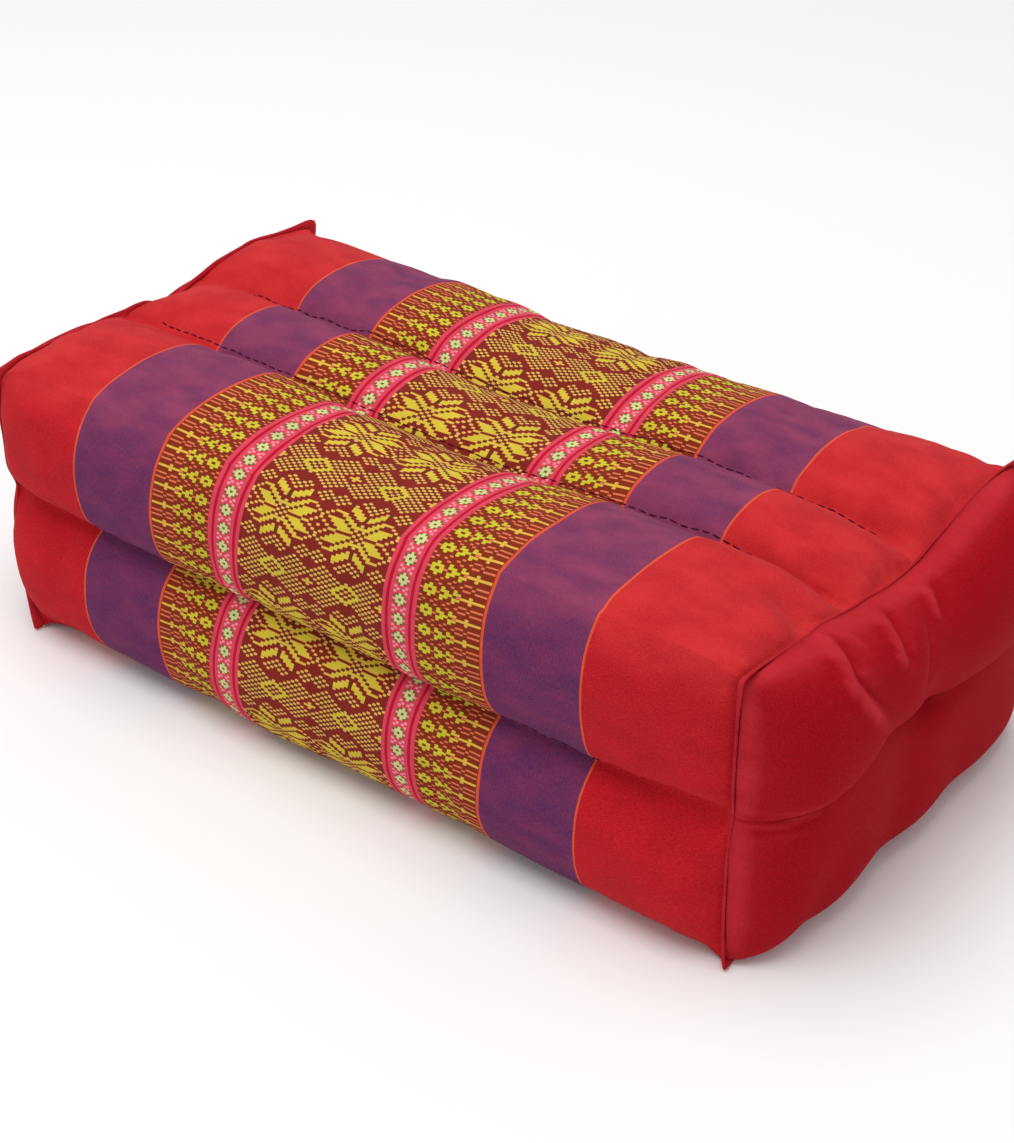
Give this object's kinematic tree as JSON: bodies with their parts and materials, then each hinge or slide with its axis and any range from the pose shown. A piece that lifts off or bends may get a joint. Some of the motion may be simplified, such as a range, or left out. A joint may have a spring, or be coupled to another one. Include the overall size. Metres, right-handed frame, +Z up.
{
  "type": "zafu cushion",
  "caption": "Rectangular block cushion for sitting or kneeling, a stitched and channelled woven wrap filled firm, closed by a cloth panel at each end.",
  "frame": {"origin": "on the floor, under the middle of the cushion's box", "axes": "+X along the cushion towards its fuller end panel, +Y across it, +Z up"},
  "size_m": [0.4024, 0.2132, 0.1227],
  "materials": {
    "woven_wrap": "matte plain-woven cotton in red with purple stripes and a brocaded middle band",
    "end_cloth": "matte plain-woven cotton in crimson"
  },
  "bodies": {
    "root": {"woven_wrap": "woven_wrap", "end_panel_left": "end_cloth", "end_panel_right": "end_cloth"}
  },
  "joints": []
}
